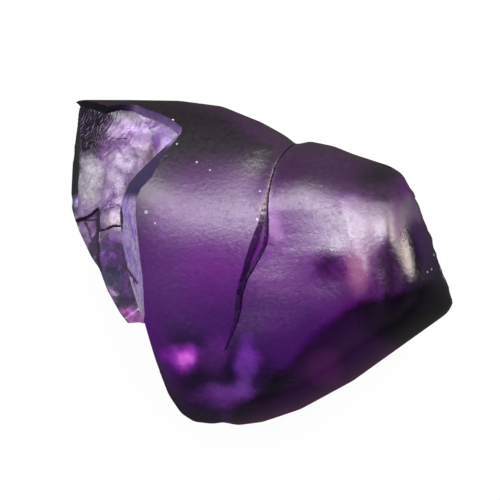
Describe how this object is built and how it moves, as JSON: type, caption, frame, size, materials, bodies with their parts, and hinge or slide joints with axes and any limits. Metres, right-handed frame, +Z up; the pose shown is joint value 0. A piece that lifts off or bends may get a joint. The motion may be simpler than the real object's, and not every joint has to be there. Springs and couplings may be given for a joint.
{
  "type": "rough alexandrite",
  "caption": "Uncut purple alexandrite crystal lying on a worn face, with a frosted skin, a stepped crack, chipped edges and a fresh shell-shaped glassy break at one end.",
  "frame": {"origin": "middle of the stone's box, at the height of the flat worn face that it lies on", "axes": "+X along the stone's length to its pointed end, +Y across it towards its long upper edge, +Z up out of the face that it lies on"},
  "size_m": [0.0104, 0.009, 0.0056],
  "materials": {
    "frosted_purple_crystal": "see-through dark purple crystal with a worn frosted skin and one glassy broken face"
  },
  "bodies": {
    "root": {"alexandrite_crystal": "frosted_purple_crystal"}
  },
  "joints": []
}
